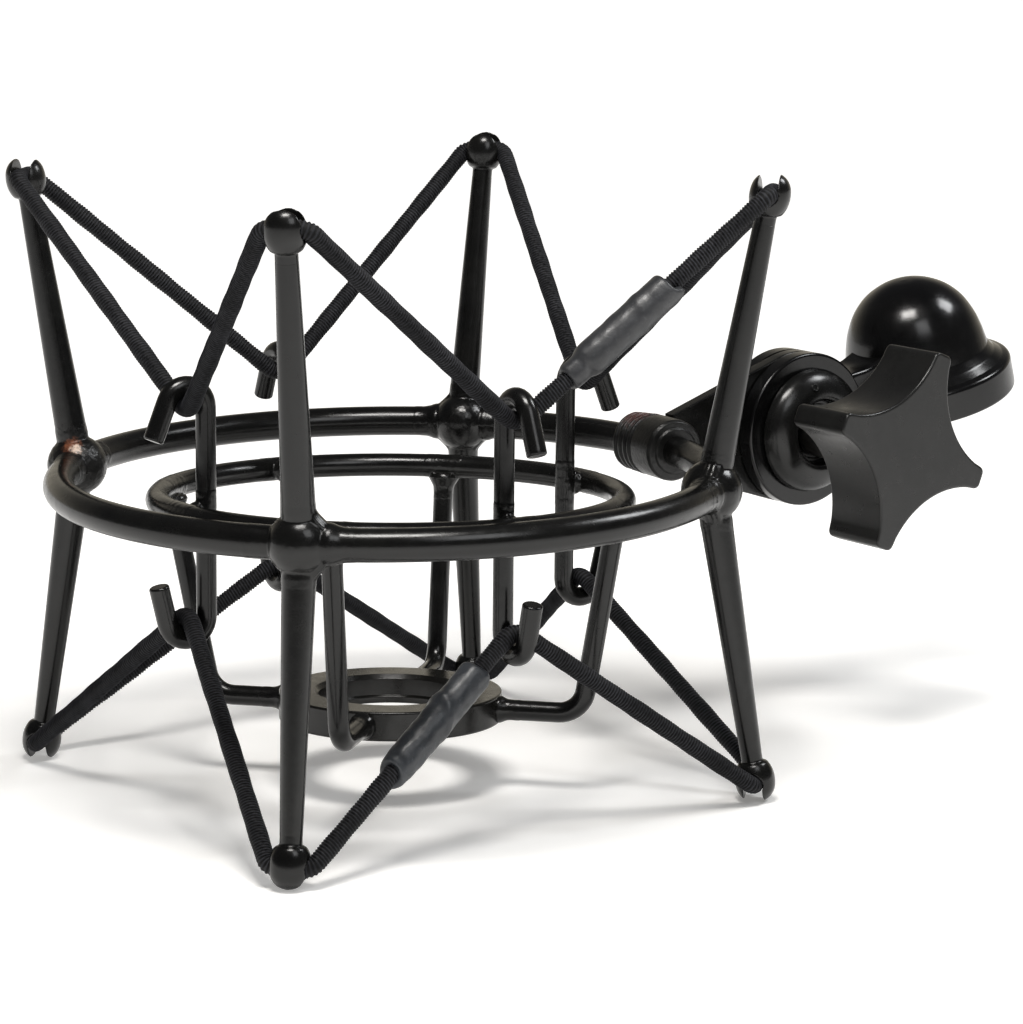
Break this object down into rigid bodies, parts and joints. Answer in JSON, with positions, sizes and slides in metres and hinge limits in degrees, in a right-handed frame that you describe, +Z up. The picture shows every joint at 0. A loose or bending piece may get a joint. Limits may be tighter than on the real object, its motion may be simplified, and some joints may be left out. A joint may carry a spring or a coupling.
{
  "type": "microphone shock mount",
  "caption": "Elastic shock mount: a hooked microphone cage hangs in braided elastic loops inside a ring with slotted struts, beside a clamped swivel with a bell-shaped stand socket.",
  "frame": {"origin": "centre of the part's footprint box, on the surface that its four lower strut tips stand on", "axes": "+Z up along the axis of the outer ring; one pair of struts points along X and one along Y; the swivel leaves the ring between +X and +Y"},
  "size_m": [0.1568, 0.163, 0.1004],
  "materials": {
    "frame_paint": "satin black paint on steel rod, worn at one node",
    "cage_paint": "satin black paint on steel rod",
    "cast_paint": "satin black paint on a light alloy casting",
    "bolt_steel": "turned and blackened",
    "braid": "braided cover of an elastic cord",
    "shrink": "heat-shrink tube"
  },
  "bodies": {
    "frame": {"outer_ring": "frame_paint", "node_right": "frame_paint", "node_back": "frame_paint", "node_left": "frame_paint", "node_front": "frame_paint", "strut_upper_right": "frame_paint", "strut_upper_back": "frame_paint", "strut_upper_left": "frame_paint", "strut_upper_front": "frame_paint", "strut_lower_right": "frame_paint", "strut_lower_back": "frame_paint", "strut_lower_left": "frame_paint", "strut_lower_front": "frame_paint", "ring_collar": "frame_paint", "lug_plate": "frame_paint", "elastic_upper": "braid", "elastic_lower": "braid", "sleeve_upper": "shrink", "sleeve_lower": "shrink"},
    "cage": {"inner_ring": "cage_paint", "hook_rod_back_right": "cage_paint", "hook_rod_back_left": "cage_paint", "hook_rod_front_left": "cage_paint", "hook_rod_front_right": "cage_paint", "cage_arm_right": "cage_paint", "cage_arm_back": "cage_paint", "cage_arm_left": "cage_paint", "cage_arm_front": "cage_paint", "seat_ring": "cage_paint"},
    "stand": {"stand_fork": "cast_paint"},
    "clamp": {"clamp_cup": "cast_paint"},
    "knob": {"clamp_bolt": "bolt_steel", "star_knob": "cast_paint"}
  },
  "joints": [
    {"name": "cage_bounce", "type": "slide", "parent": "frame", "child": "cage", "axis": [0, 0, 1], "range_m": [-0.008, 0.008], "stiffness_N_per_m": 1900, "springref_m": 0.00035, "deforming": ["elastic_upper", "sleeve_upper", "elastic_lower", "sleeve_lower"]},
    {"name": "stand_swivel", "type": "hinge", "parent": "frame", "child": "stand", "pos_m": [0.04202, 0.04203, 0.05017], "axis": [0.7547, -0.6561, 0], "range_deg": [-100, 70]},
    {"name": "clamp_travel", "type": "slide", "parent": "stand", "child": "clamp", "axis": [0.7547, -0.6561, 0], "range_m": [0, 0.0015]},
    {"name": "knob_turn", "type": "hinge", "parent": "clamp", "child": "knob", "pos_m": [0.04202, 0.04203, 0.05017], "axis": [0.7547, -0.6561, 0], "range_deg": [0, 541]}
  ],
  "couplings": [
    {"joint": "knob_turn", "follows": "clamp_travel", "rad_per_m": 6283.2}
  ]
}
